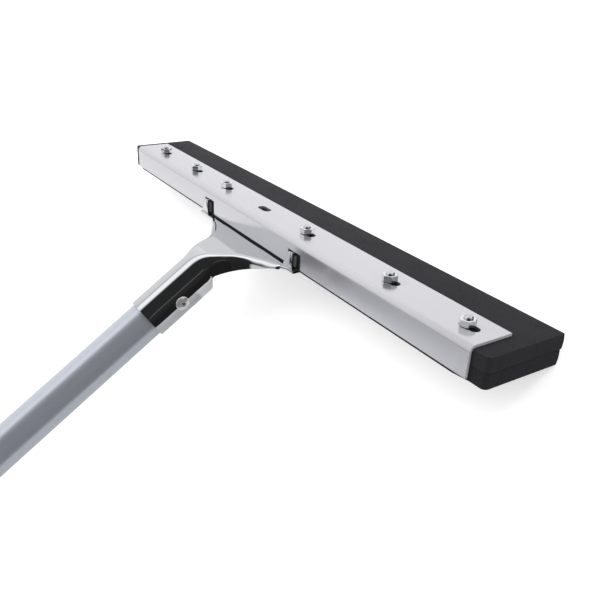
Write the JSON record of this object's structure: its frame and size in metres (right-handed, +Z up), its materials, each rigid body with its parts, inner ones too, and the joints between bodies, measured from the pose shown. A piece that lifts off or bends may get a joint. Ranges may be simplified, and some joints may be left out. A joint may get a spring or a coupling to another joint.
{
  "type": "floor squeegee",
  "caption": "Floor squeegee: a double black foam rubber blade clamped in a straight zinc-plated steel head, a chromed socket yoke and a long tube handle with a hanging eye.",
  "frame": {"origin": "centre of the bounding box at floor level, with the tool lying upside up: the lip of the blade and the handle's cap touch the floor", "axes": "+X along the blade towards its right end as seen from the handle, +Y from the handle's end towards the head, +Z up"},
  "size_m": [0.437, 1.427, 0.052],
  "materials": {
    "zinc_sheet": "white zinc plating on cold-rolled sheet steel, satin with faint drawing lines",
    "zinc_strip": "white zinc plating on a steel strip, satin",
    "chrome_yoke": "bright chromium plating over polished sheet steel",
    "bolt_steel": "zinc-plated steel, slightly dull",
    "nut_steel": "zinc-plated steel, bright flats with chamfered corners",
    "rivet_steel": "bright plated steel",
    "mandrel_steel": "dark drawn steel, broken end",
    "foam_upper": "cellular rubber, fine closed cells with a thin moulded skin",
    "foam_lower": "cellular rubber, fine closed cells with a thin moulded skin",
    "handle_paint": "blue-grey metallic paint on a thin steel tube, semi-gloss",
    "cap_plastic": "black moulded plastic, fine texture"
  },
  "bodies": {
    "root": {"foam_upper": "foam_upper", "foam_lower": "foam_lower", "base_strip": "zinc_strip", "yoke": "chrome_yoke", "bolt_1": "bolt_steel", "bolt_2": "bolt_steel", "bolt_3": "bolt_steel", "bolt_4": "bolt_steel", "bolt_5": "bolt_steel", "bolt_6": "bolt_steel", "nut_1": "nut_steel", "nut_2": "nut_steel", "nut_3": "nut_steel", "nut_4": "nut_steel", "nut_5": "nut_steel", "nut_6": "nut_steel", "handle_rivet": "rivet_steel", "rivet_mandrel": "mandrel_steel", "handle_tube": "handle_paint", "handle_cap": "cap_plastic"},
    "cover": {"cover_plate": "zinc_sheet"}
  },
  "joints": [
    {"name": "cover_slide", "type": "slide", "parent": "root", "child": "cover", "axis": [1, 0, 0], "range_m": [-0.005, 0.002]}
  ]
}
